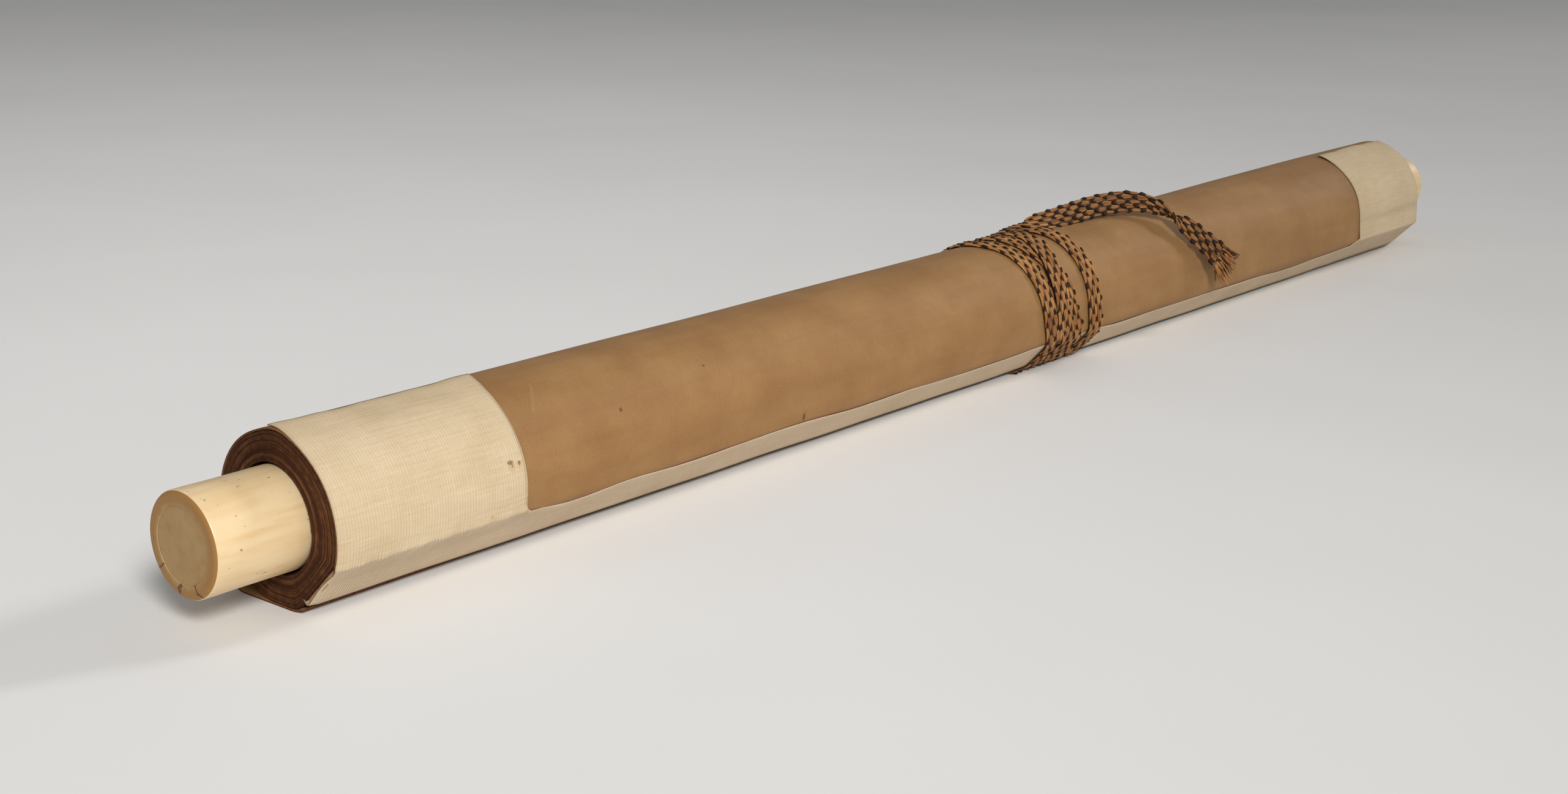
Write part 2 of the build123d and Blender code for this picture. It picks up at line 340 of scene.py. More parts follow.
class Shader:
    """Short way to write a node material round one Principled shader."""

    def __init__(self, name):
        self.material = bpy.data.materials.new(name)
        self.material.use_nodes = True
        self.tree = self.material.node_tree
        self.tree.nodes.clear()
        out = self.tree.nodes.new("ShaderNodeOutputMaterial")
        self.bsdf = self.tree.nodes.new("ShaderNodeBsdfPrincipled")
        self.tree.links.new(self.bsdf.outputs[0], out.inputs["Surface"])

    def put(self, socket, value):
        if isinstance(value, bpy.types.NodeSocket):
            self.tree.links.new(value, socket)
        else:
            socket.default_value = value

    def node(self, kind, inputs, output=0, **settings):
        node = self.tree.nodes.new(kind)
        for key, value in settings.items():
            setattr(node, key, value)
        for key, value in inputs.items():
            self.put(node.inputs[key], value)
        return node.outputs[output]

    def math(self, operation, a, b=0.0):
        return self.node("ShaderNodeMath", {0: a, 1: b}, operation=operation)

    def total(self, *terms):
        """Sum of values, each times its share."""
        parts = [self.math("MULTIPLY", value, share) for value, share in terms]
        total = parts[0]
        for part in parts[1:]:
            total = self.math("ADD", total, part)
        return total

    def weave(self):
        """Cloth coordinates in millimetres: along the roll, then round it."""
        return self.node("ShaderNodeUVMap", {}, uv_map="weave")

    def place(self):
        """Object coordinates in metres."""
        return self.node("ShaderNodeTexCoord", {}, output=3)

    def tone(self):
        """The value at each point that the mesh carries: painted shade, a darker streak, a turn's colour or a
        yarn's tone.
        """
        return self.node("ShaderNodeAttribute", {}, output=2, attribute_name="tone")

    def stretched(self, vector, scale):
        return self.node("ShaderNodeMapping", {"Vector": vector, "Scale": scale})

    def noise(self, vector, scale, detail=3.0, rough=0.5):
        inputs = {"Vector": vector, "Scale": scale, "Detail": detail, "Roughness": rough}
        return self.node("ShaderNodeTexNoise", inputs)

    def fibres(self, vector, scales, detail, rough):
        """Noise with a scale of its own along each axis."""
        return self.noise(self.stretched(vector, scales), 1.0, detail, rough)

    def ramp(self, value, low, high, to_low=0.0, to_high=1.0):
        inputs = {0: value, 1: low, 2: high, 3: to_low, 4: to_high}
        return self.node("ShaderNodeMapRange", inputs)

    def mix(self, factor, a, b):
        """Colour a turned towards b by a factor; a plain colour is three numbers."""
        a, b = ((*c, 1.0) if isinstance(c, tuple) else c for c in (a, b))
        return self.node("ShaderNodeMix", {0: factor, 6: a, 7: b}, output=2, data_type="RGBA")

    def layers(self, base, *layers):
        """The base with colours laid over it, each by a value and its ramp."""
        for value, low, high, to_low, to_high, colour in layers:
            base = self.mix(self.ramp(value, low, high, to_low, to_high), base, colour)
        return base

    def split(self, vector):
        node = self.tree.nodes.new("ShaderNodeSeparateXYZ")
        self.put(node.inputs[0], vector)
        return node.outputs

    def from_axis(self, place):
        """Distances from the roller's axis along Y and along Z."""
        _, y, z = self.split(place)
        return self.math("SUBTRACT", y, AXIS_Y), self.math("SUBTRACT", z, AXIS_Z)

    def length(self, vector):
        return self.node("ShaderNodeVectorMath", {0: vector}, output=1, operation="LENGTH")

    def blot(self, vector, centre, reach, ragged):
        """1 inside a ragged spot of the cloth, 0 outside: centre and half sizes in millimetres."""
        offset = self.node("ShaderNodeVectorMath", {0: vector, 1: (*centre, 0)}, operation="SUBTRACT")
        length = self.length(self.stretched(offset, (1 / reach[0], 1 / reach[1], 1)))
        rough = self.math("MULTIPLY", self.noise(vector, 1.6, 3, 0.6), ragged)
        return self.ramp(self.math("ADD", length, rough), 0.75 + ragged / 2, 1.15 + ragged / 2, 1, 0)

    def spotted(self, base, weave, spots, ragged):
        """The base with spots: centres, half sizes, colours and strengths."""
        for centre, reach, colour, strength in spots:
            here = self.math("MULTIPLY", self.blot(weave, centre, reach, ragged), strength)
            base = self.mix(here, base, colour)
        return base

    def relief(self, height, strength, distance):
        return self.node("ShaderNodeBump", {"Height": height, "Strength": strength, "Distance": distance})

    def set(self, **values):
        for key, value in values.items():
            self.put(self.bsdf.inputs[key.replace("_", " ")], value)
        return self.material


def cream_cloth_material(name, pale, deep, ribs, stains):
    """Ribbed cloth: ribs of this strength round the roll, slubs along it, a faint twill, stains, and the
    painted shade and darker streak that the mesh's tone carries.
    """
    s = Shader(name)
    weave = s.weave()
    u, v, _ = s.split(weave)
    drift = s.fibres(weave, (0.6, 0.09, 1), 3, 0.6)
    rib = s.math("SINE", s.total((u, 2 * math.pi / RIB_PITCH), (drift, 3.5)))
    slub = s.fibres(weave, (0.08, 1.3, 1), 5, 0.62)
    thread = s.fibres(weave, (2.4, 0.12, 1), 3, 0.6)
    cross = s.fibres(weave, (1.3, 4.2, 1), 2, 0.5)
    twill = s.math("SINE", s.total((s.math("ADD", u, v), 2 * math.pi / TWILL_PITCH), (drift, 6.0)))
    cloud = s.noise(weave, 0.06, 4, 0.55)
    base = s.layers(
        pale,
        (cloud, 0.35, 0.7, 0, 0.7, deep),
        (slub, 0.5, 0.75, 0, 0.36, (0.46, 0.33, 0.18)),
        (slub, 0.28, 0.45, 0.35, 0, (0.82, 0.7, 0.5)),
        (thread, 0.5, 0.8, 0, 0.3, (0.84, 0.73, 0.54)),
        (cross, 0.52, 0.75, 0, 0.22, (0.86, 0.76, 0.58)),
        (rib, -1.0, 0.1, ribs, 0, (0.34, 0.24, 0.13)),
        (twill, -1.0, 0.4, 0.13, 0, (0.36, 0.26, 0.14)),
    )
    base = s.spotted(base, weave, stains, 0.7)
    # Painted shade along the creases and under the strip, and a darker streak, from the tone
    base = s.mix(s.tone(), base, (0.2, 0.14, 0.08))
    height = s.total((rib, 0.5), (slub, 0.5), (thread, 0.4), (cross, 0.35), (twill, 0.12))
    normal = s.relief(height, 0.35 + ribs / 2, 0.00022)
    return s.set(Base_Color=base, Roughness=0.88, Specular_IOR_Level=0.18, Normal=normal)


def brown_silk_material(marks):
    """Fine golden-brown silk with faint mottling and a few marks, and the painted shade that the mesh's tone
    carries.
    """
    s = Shader("brown_silk")
    weave = s.weave()
    warp = s.fibres(weave, (3.2, 0.25, 1), 3, 0.6)
    weft = s.fibres(weave, (0.2, 3.6, 1), 3, 0.6)
    cloud = s.noise(weave, 0.045, 4, 0.6)
    patch = s.fibres(weave, (0.02, 0.16, 1), 3, 0.55)
    grain = s.noise(weave, 3.4, 4, 0.7)
    base = s.layers(
        (0.35, 0.19, 0.071),
        (cloud, 0.34, 0.7, 0, 1, (0.27, 0.132, 0.045)),
        (patch, 0.45, 0.72, 0, 0.4, (0.23, 0.105, 0.035)),
        (grain, 0.47, 0.74, 0, 0.6, (0.49, 0.285, 0.115)),
        (grain, 0.26, 0.44, 0.5, 0, (0.19, 0.088, 0.03)),
        (warp, 0.5, 0.8, 0, 0.3, (0.18, 0.08, 0.028)),
    )
    base = s.spotted(base, weave, marks, 0.5)
    # Painted shade from the tone: the right band's shadow line and the darker back
    base = s.mix(s.tone(), base, (0.09, 0.038, 0.013))
    return s.set(
        Base_Color=base,
        Roughness=0.66,
        Specular_IOR_Level=0.25,
        Sheen_Weight=0.03,
        Sheen_Roughness=0.4,
        Normal=s.relief(s.total((warp, 1), (weft, 0.8), (grain, 0.6)), 0.3, 0.00012),
    )


def cut_edge_material(name, pale, dark):
    """Cut edge of cloth or mounting paper."""
    s = Shader(name)
    fibre = s.noise(s.place(), 1100, 3, 0.6)
    base = s.mix(s.ramp(fibre, 0.35, 0.7), pale, dark)
    normal = s.relief(fibre, 0.4, 0.0002)
    return s.set(Base_Color=base, Roughness=0.9, Specular_IOR_Level=0.15, Normal=normal)


def wound_paper_material():
    """Edges of many dark brown turns, some paler than others."""
    s = Shader("wound_paper")
    place = s.place()
    fleck = s.noise(place, 520, 4, 0.65)
    cloud = s.noise(place, 90, 3)
    tone = s.math("ADD", s.tone(), s.ramp(fleck, 0.3, 0.7, -0.25, 0.25))
    base = s.layers(
        (0.058, 0.018, 0.006),
        (tone, 0.1, 0.95, 0, 1, (0.225, 0.09, 0.03)),
        (cloud, 0.4, 0.7, 0, 0.5, (0.055, 0.018, 0.006)),
    )
    normal = s.relief(fleck, 0.4, 0.00015)
    return s.set(Base_Color=base, Roughness=0.85, Specular_IOR_Level=0.2, Normal=normal)


def bone_material(name, pale, dark, specks, shine, cracks=(), border=None):
    """Polished bone: streaks along the knob, and specks where their noise is above a value.
    Cracks run out from the axis, each with its angle and width. A border is two radii and the colour that the
    bone takes between them and beyond."""
    s = Shader(name)
    place = s.place()
    streak = s.fibres(place, (38, 330, 330), 3, 0.5)
    cloud = s.noise(place, 75, 3)
    fine = s.fibres(place, (120, 1500, 1500), 2, 0.5)
    speck = s.fibres(place, (520, 900, 900), 2, 0.4)
    base = s.layers(
        pale,
        (streak, 0.46, 0.8, 0, 0.7, dark),
        (cloud, 0.45, 0.75, 0, 0.4, dark),
        (fine, 0.58, 0.8, 0, 0.25, dark),
        (speck, specks, specks + 0.05, 0, 0.7, (0.22, 0.1, 0.035)),
    )
    height = s.total((streak, 0.6), (fine, 0.3))
    if border:
        near, far, colour = border
        y, z = s.from_axis(place)
        reach = s.length(s.node("ShaderNodeCombineXYZ", {"Y": y, "Z": z}))
        ragged = s.ramp(s.noise(place, 260, 3, 0.6), 0.2, 0.8, -0.0009, 0.0009)
        base = s.mix(s.ramp(s.math("ADD", reach, ragged), near, far), base, colour)
    if cracks:
        y, z = s.from_axis(place)
        turn = s.math("ARCTAN2", z, y)
        wander = s.ramp(s.noise(place, 420, 2), 0, 1, -0.16, 0.16)
        for angle, width in cracks:
            off = s.math("SUBTRACT", s.math("ADD", turn, wander), math.radians(angle))
            line = s.ramp(s.math("ABSOLUTE", off), width * 0.4, width, 1, 0)
            base = s.mix(s.math("MULTIPLY", line, 0.85), base, (0.09, 0.035, 0.012))
            height = s.math("SUBTRACT", height, line)
    return s.set(
        Base_Color=base,
        Roughness=s.ramp(cloud, 0.3, 0.7, 0.34, 0.46),
        Specular_IOR_Level=shine,
        Subsurface_Weight=0.06,
        Subsurface_Radius=(0.004, 0.002, 0.001),
        Subsurface_Scale=0.4,
        Normal=s.relief(height, 0.15, 0.0003),
    )


def wood_material():
    """Plain planed softwood with its grain along the roll."""
    s = Shader("wood")
    grain = s.fibres(s.place(), (14, 520, 520), 4, 0.6)
    base = s.mix(s.ramp(grain, 0.35, 0.7), (0.52, 0.35, 0.19), (0.36, 0.22, 0.105))
    normal = s.relief(grain, 0.3, 0.0003)
    return s.set(Base_Color=base, Roughness=0.7, Specular_IOR_Level=0.3, Normal=normal)


def yarn_material(name, pale, dark, shade):
    """Silk yarn of the braid; the tone at each yarn takes it towards its shade colour, for random darker
    yarns and for painted shade on the free end.
    """
    s = Shader(name)
    place = s.place()
    fibre = s.noise(place, 2600, 3, 0.6)
    cloud = s.noise(place, 160, 2)
    base = s.layers(pale, (cloud, 0.35, 0.7, 0, 1, dark), (fibre, 0.55, 0.8, 0, 0.4, dark))
    return s.set(
        Base_Color=s.mix(s.tone(), base, shade),
        Roughness=0.66,
        Specular_IOR_Level=0.18,
        Sheen_Weight=0.03,
        Sheen_Roughness=0.4,
        Normal=s.relief(fibre, 0.4, 0.00012),
    )


def floor_material():
    """Plain pale table."""
    s = Shader("floor")
    cloud = s.noise(s.place(), 6, 2)
    base = s.mix(s.ramp(cloud, 0.3, 0.7), (0.9, 0.895, 0.885), (0.87, 0.865, 0.855))
    return s.set(Base_Color=base, Roughness=0.8, Specular_IOR_Level=0.1)


# The brown cover


def bare_part(x):
    """1 between the bands, where the cover's fold at the stave shows, and 0 under them."""
    start, full = 0.0025, 0.006
    left = smooth(INNER_LEFT + start, INNER_LEFT + full, x)
    return left - smooth(INNER_RIGHT - full, INNER_RIGHT - start, x)


def sheet_run(section):
    """Distance run over the cover from its fold at the stave."""
    run = lengths(section)
    return [r - run[SHEET_FOLD_ROW] for r in run]


def sheet_section(x):
    """Outer face of the outermost turn at x, from the stave over the top and the back to the table."""
    leave = leave_angle(x, CLOTH_RADIUS)
    face = strip_face(x) - CLOTH_THICKNESS + (CLOTH_THICKNESS - SHEET_SINK) * bare_part(x)
    fold = crease(face, SHEET_RADIUS, leave)
    under = SHEET_TURN_IN
    if INNER_LEFT <= x <= INNER_RIGHT:
        under = max(strip_drop(x) - STRIP_TOP + SHEET_UNDER - fold, under)
    left_roll = spot(leave, SHEET_RADIUS)
    bend = loose_bend_centre()
    rest_angle = 270 + math.degrees(math.acos(CENTRE_HEIGHT / SHEET_RADIUS))
    points = line_points(on_strip(face, fold + under), on_strip(face, fold), SHEET_FOLD_ROW)
    points += line_points(on_strip(face, fold), left_roll, 5)
    points = softened(points, 1)
    points += arc_points(SHEET_RADIUS, leave, 90, 30)
    points += arc_points(SHEET_RADIUS, 90, LOOSE_ANGLE, 28)
    points += line_points(spot(LOOSE_ANGLE, SHEET_RADIUS), around(bend, LOOSE_ANGLE, LOOSE_BEND_RADIUS), 5)
    for i in range(12):
        angle = LOOSE_ANGLE + (270 - LOOSE_ANGLE) * i / 12
        points.append(around(bend, angle, LOOSE_BEND_RADIUS))
    points += line_points((bend[0], 0), spot(rest_angle, SHEET_RADIUS), 8)
    points += arc_points(SHEET_RADIUS, rest_angle, UNDER_END_ANGLE, 7)
    points.append(spot(UNDER_END_ANGLE, SHEET_RADIUS))
    return points


def top_bulge(x, angle):
    """How far the outer turns stand proud at the top of both ends."""
    left = 1 - smooth(LEFT_END + 0.004, LEFT_END + 0.05, x)
    right = smooth(0.06, 0.22, x)
    return 0.0008 * left * bump(87, 15, angle) + 0.001 * right * bump(92, 30, angle)


def cord_press(x):
    """How far the cord under the roll presses the sheet up at x."""
    ease = 0.004
    press = 0
    for node in ("tie_cord_coil", "tie_cord_turn"):
        low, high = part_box(node)
        press = max(press, smooth(low.x - ease, low.x, x) - smooth(high.x, high.x + ease, x))
    return (CORD_THICKNESS + 0.0001) * press


def sheet_rise(x, run, angle):
    """Unevenness of the cover: faint waves, stronger ones on the loose back, and the ends' bulge."""
    rise = 0.00012 * wave(1, (x, 0.21), (run + 0.3 * x, 0.047), (x - run, 0.083))
    back = smooth(0.06, 0.075, run) * (1 - smooth(0.094, 0.1, run))
    rise += 0.0004 * back * wave(5, (x, 0.19), (x, 0.067))
    return rise + top_bulge(x, angle)


def sheet_painted_shade(x, run):
    """Painted shade on the cover: a painted shadow line along the right band's edge, and a darker back."""
    # Painted shadow that the right band's edge casts on the cover
    line = bump(INNER_RIGHT + BAND_SHIFT_RIGHT, 0.0014, x) * (1 - smooth(0.042, 0.048, run))
    return 0.45 * line + 0.2 * smooth(0.05, 0.12, run)


def make_cover_sheet(silk, edge):
    """The silk-faced outermost turn."""
    # Heights up to which the sheet lies flat on the table, and up to which the cord presses it
    flat_near, press_near = 0.004, 0.003
    verts, uvs, faces, tones, shares = [], [], [], [], []
    for i in range(SHEET_STATIONS + 1):
        x = LEFT_END + ROLL_LENGTH * i / SHEET_STATIONS
        section = sheet_section(x)
        run = sheet_run(section)
        press = cord_press(x)
        share = edge_share(min(x - LEFT_END, RIGHT_END - x), EDGE_TAPER)
        for j, (y, z) in enumerate(section):
            rise = sheet_rise(x, run[j], section_angle(y, z))
            away = outward(y, z)
            floor_part = 1 - smooth(0.0, flat_near, z)
            y += away.x * rise * (1 - floor_part)
            z += away.y * rise * (1 - floor_part)
            z = max(z, press * (1 if z < press + press_near else 0))
            verts.append((x, y, z))
            uvs.append((x * MM, run[j] * MM))
            # Painted shade: the right band's shadow line and the darker back
            tones.append(sheet_painted_shade(x, run[j]))
            shares.append(min(share, FOLD_SHARE) if j < SHEET_FOLD_ROW + 2 else share)
    rows = len(section)
    for i in range(SHEET_STATIONS):
        for j in range(rows - 1):
            a = i * rows + j
            faces.append((a, a + rows, a + rows + 1, a + 1))
    sheet = make_object("cover_sheet_silk", verts, faces, [silk, edge], uvs=uvs, tones=tones)
    thicken(sheet, SHEET_THICKNESS, 1, shares)
    return finish_piece(sheet, "brown_silk", "cover_sheet"), ROLL_LENGTH, run[-1]


# The cream cloth


def band_section(x):
    """Outer face of an end band, from its free upper edge down to the lip above the crease."""
    start = blend(FREE_EDGE_FROM_LEFT, FREE_EDGE_FROM_RIGHT, x)
    end = blend(FREE_EDGE_TO_LEFT, FREE_EDGE_TO_RIGHT, x)
    height = table_value(FREE_EDGE_LIFT, x)
    leave = leave_angle(x, CLOTH_RADIUS)
    points = []
    for i in range(16):
        t = 1 - i / 16
        points.append(spot(start + (end - start) * t, CLOTH_RADIUS + height * t**1.5))
    points += arc_points(CLOTH_RADIUS, start, leave, 36)
    points += line_points(spot(leave, CLOTH_RADIUS), strip_lip(x), 4)
    return points


def strip_lip(x):
    """Section point of the lip, a little above the crease."""
    leave = leave_angle(x, CLOTH_RADIUS)
    lip = math.sqrt(strip_face(x) ** 2 + STRIP_TOP**2 - CLOTH_RADIUS**2) - STRIP_LIP
    return along(spot(leave, CLOTH_RADIUS), leave, -lip)


def strip_drop(x):
    """How far below the crease the strip's upper edge lies between the bands."""
    drop = 0.0001 * wave(3, (x, 0.037), (x, 0.021), (x, 0.0083))
    for (a, before), (b, after) in zip(STRIP_DROP, STRIP_DROP[1:]):
        if a <= x <= b:
            return drop + before + (after - before) * smooth(a, b, x)
    return drop


def strip_section(x, drop=None):
    """Outer face of the strip round the stave, from the lip above the crease or from an edge below it."""
    face = strip_face(x)
    low = on_strip(face, STRIP_LOW)
    tucked = on_strip(face - CLOTH_THICKNESS - STAVE_THICKNESS, STRIP_LOW)
    if drop is None:
        fold = on_strip(face, -STRIP_TOP)
        points = line_points(strip_lip(x), fold, 4)
        points += line_points(fold, low, 22)
    else:
        points = line_points(on_strip(face, drop - STRIP_TOP), low, 26)
        points[0] = on_strip(face - STRIP_CURL, drop - STRIP_TOP)
    points += line_points(low, tucked, 6)
    points.append(tucked)
    return softened(points, 2)


def band_shift(angle, side):
    """How far the inner edge of a band strays along the roll at an angle."""
    t = (angle - 45) / 50
    if side > 0:
        return BAND_SHIFT_RIGHT + (0 if t > 0 else 0.0008) * t * t
    return (0.003 if t > 0 else 0.0006) * t * t


def cloth_share(x, side, run, run_from_crease):
    """1 inside the cloth, less near its cut edges, where it thins onto the cover."""
    to_end = min(x - LEFT_END, RIGHT_END - x)
    edge = to_end
    if side and run_from_crease < -STRIP_LIP:
        edge = min(edge, run, END_BAND_WIDTH - to_end)
    return edge_share(edge, CLOTH_TAPER)


def border_point(x, side, section_point, run, run_from_crease):
    """Place of a point of the cloth, with its unevenness: soft free edge, puckers along the crease."""
    y, z = section_point
    angle = section_angle(y, z)
    px = x
    out = 0.00008 * wave(2, (x, 0.071), (run * 2 + x, 0.043)) + top_bulge(x, angle)
    if side:
        inner = (x - LEFT_END) / END_BAND_WIDTH if side < 0 else (RIGHT_END - x) / END_BAND_WIDTH
        px += band_shift(angle, side) * smooth(0.4, 1, inner) * smooth(-40, -15, angle)
        out += 0.00026 * (1 - smooth(0, 0.016, run)) * wave(7, (x, 0.052), (x, 0.029), (x, 0.013))
    if x < PUCKER_END:
        fade = 1 - smooth(PUCKER_END - PUCKER_FADE, PUCKER_END, x)
        fold = bump(0.001, 0.0032, run_from_crease)
        out += 0.00024 * fade * fold * wave(4, (x, 0.0093), (x + run, 0.0061))
        out -= 0.0005 * fade * bump(0.008, 0.005, run_from_crease)
    out -= (1 - cloth_share(x, side, run, run_from_crease)) * CLOTH_THICKNESS
    away = outward(y, z)
    return px, y + away.x * out, max(z + away.y * out, 0.0002)


def cloth_painted_shade_and_streak(x, side, run, run_from_crease):
    """Painted shade of the cloth along the crease, on a crease line of the right band and on the part turned
    in under the strip, and a darker streak below the left band's free edge.
    """
    # Painted shade along the crease
    tone = 0.16 * bump(0.0006, 0.0007, run_from_crease) * (1 if side else 0.4)
    if side < 0:
        # A darker streak below the left band's free edge
        streak = bump(0.0075, 0.0035, run) * (0.65 + 0.35 * wave(6, (x, 0.041), (x, 0.017)))
        tone += 0.2 * max(streak, 0)
    if side > 0:
        # Painted shade on a crease line of the right band
        tone += 0.22 * bump(-0.0062, 0.0005, run_from_crease)
    # Painted shade on the part turned in under the strip
    tone += 0.6 * smooth(STRIP_WIDTH - 0.0006, STRIP_WIDTH + 0.0006, run_from_crease)
    return min(tone, 1)


def make_cover_border(cloth, strip_cloth, edge):
    """The cream cloth, one frame: full-length strip, and a band at each end above it."""
    band_steps, middle_steps = 40, 200
    span = INNER_RIGHT - INNER_LEFT
    # Each station has its side: -1 on the left band, 1 on the right one and 0 between them
    stations = [(LEFT_END + END_BAND_WIDTH * i / band_steps, -1) for i in range(band_steps + 1)]
    stations += [(INNER_LEFT + span * i / middle_steps, 0) for i in range(1, middle_steps)]
    stations += [(INNER_RIGHT + END_BAND_WIDTH * i / band_steps, 1) for i in range(band_steps + 1)]
    verts, uvs, tones, shares, faces, kinds = [], [], [], [], [], []
    index = {}
    for i, (x, side) in enumerate(stations):
        band = band_section(x)
        section = band + strip_section(x, None if side else strip_drop(x))
        run = lengths(section)
        to_crease = lengths(band)[-1] + STRIP_LIP
        for row, point in enumerate(section):
            if row < len(band) and not side:
                continue
            below = run[row] - to_crease
            px, y, z = border_point(x, side, point, run[row], below)
            index[i, row] = len(verts)
            verts.append((px, y, z))
            uvs.append((px * MM, run[row] * MM))
            # Painted shade along the creases and under the strip, and a darker streak
            tones.append(cloth_painted_shade_and_streak(x, side, run[row], below))
            if side:
                shares.append(cloth_share(x, side, run[row], below))
            else:
                shares.append(edge_share(run[row] - run[len(band)], CLOTH_TAPER))
    for i in range(len(stations) - 1):
        between_bands = not stations[i][1] and not stations[i + 1][1]
        for row in range(len(section) - 1):
            keys = ((i, row), (i, row + 1), (i + 1, row + 1), (i + 1, row))
            corners = [index.get(key) for key in keys]
            if None not in corners:
                faces.append(tuple(corners))
                kinds.append(1 if between_bands or row > len(band) + 1 else 0)
    border = make_object("cover_border_cloth", verts, faces, [cloth, strip_cloth, edge], kinds, uvs, tones)
    thicken(border, CLOTH_THICKNESS, 2, shares)
    strip_length = lengths(strip_section(0))[-1]
    band_length = lengths(band_section(0))[-1]
    middle_length = lengths(strip_section(0, strip_drop(0)))[-1]
    area = span * middle_length + 2 * END_BAND_WIDTH * (strip_length + band_length)
    return finish_piece(border, "cream_cloth", "cover_border"), strip_length + band_length, area


def weave_place(x, angle, section, run):
    """Weave place, in millimetres, of the section's point nearest to an angle."""
    row = min(range(len(section)), key=lambda j: abs(section_angle(*section[j]) - angle))
    return (x * MM, run[row] * MM)


def on_band(x, angle):
    section = band_section(x)
    return weave_place(x, angle, section, lengths(section))


def on_sheet(x, angle):
    section = sheet_section(x)[:SHEET_FRONT_ROWS]
    return weave_place(x, angle, section, sheet_run(section))


def band_stains():
    """Two dark stains with orange borders near the inner edge of the left band, and a small tan spot."""
    first = on_band(-0.2383, 14.4)
    second = on_band(-0.2353, 13.7)
    tan_spot = on_band(-0.2445, -20)
    orange = (0.5, 0.26, 0.1)
    dark = (0.1, 0.04, 0.016)
    return [
        ((first[0] + 0.5, first[1] + 1.0), (1.3, 1.6), orange, 0.28),
        ((second[0], second[1] + 0.4), (0.9, 1.2), orange, 0.32),
        (first, (0.95, 0.55), dark, 0.62),
        ((first[0] + 0.6, first[1] + 0.8), (0.3, 0.65), dark, 0.5),
        (second, (0.55, 0.52), dark, 0.62),
        (tan_spot, (0.6, 0.5), orange, 0.45),
    ]


def cover_marks():
    """Specks, a small tear and a pale scratch on the brown cover."""
    dark = (0.08, 0.03, 0.012)
    pale = (0.55, 0.36, 0.19)
    marks = []
    for x, angle, reach in (
        (-0.197, 28, (0.5, 0.7)),
        (-0.1616, 42, (0.4, 0.4)),
        (-0.1241, -20, (0.6, 1.3)),
    ):
        marks.append((on_sheet(x, angle), reach, dark, 0.7))
    top = on_sheet(-0.2195, 63)
    for step in range(9):
        t = step / 8
        marks.append(((top[0] - 5 * t, top[1] - 7.7 * t), (0.3, 0.9), pale, 0.14))
    return marks


# The wound paper


def stave_seat(x):
    """Distance from the roll's centre to the flat that the stave presses into the paper."""
    return strip_face(x) - CLOTH_THICKNESS - STAVE_THICKNESS - STAVE_CLEARANCE


def wound_radius(angle, seat):
    """Outline of the wound paper, flattened by the stave and by the table."""
    to_stave = math.cos(math.radians(angle - STRIP_ANGLE))
    to_table = -math.sin(math.radians(angle))
    radius = ROLL_RADIUS
    if to_stave > 0:
        radius = min(radius, seat / to_stave)
    if to_table > 0:
        radius = min(radius, (CENTRE_HEIGHT - SHEET_THICKNESS) / to_table)
    return radius


def axis_reach(angle, radius):
    """Distance from the roll's centre to a circle round the roller's axis."""
    a = math.radians(angle)
    up = AXIS_Z - CENTRE_HEIGHT
    ahead = up * math.sin(a) - AXIS_Y * math.cos(a)
    aside = up * math.cos(a) + AXIS_Y * math.sin(a)
    return ahead + math.sqrt(radius**2 - aside**2)


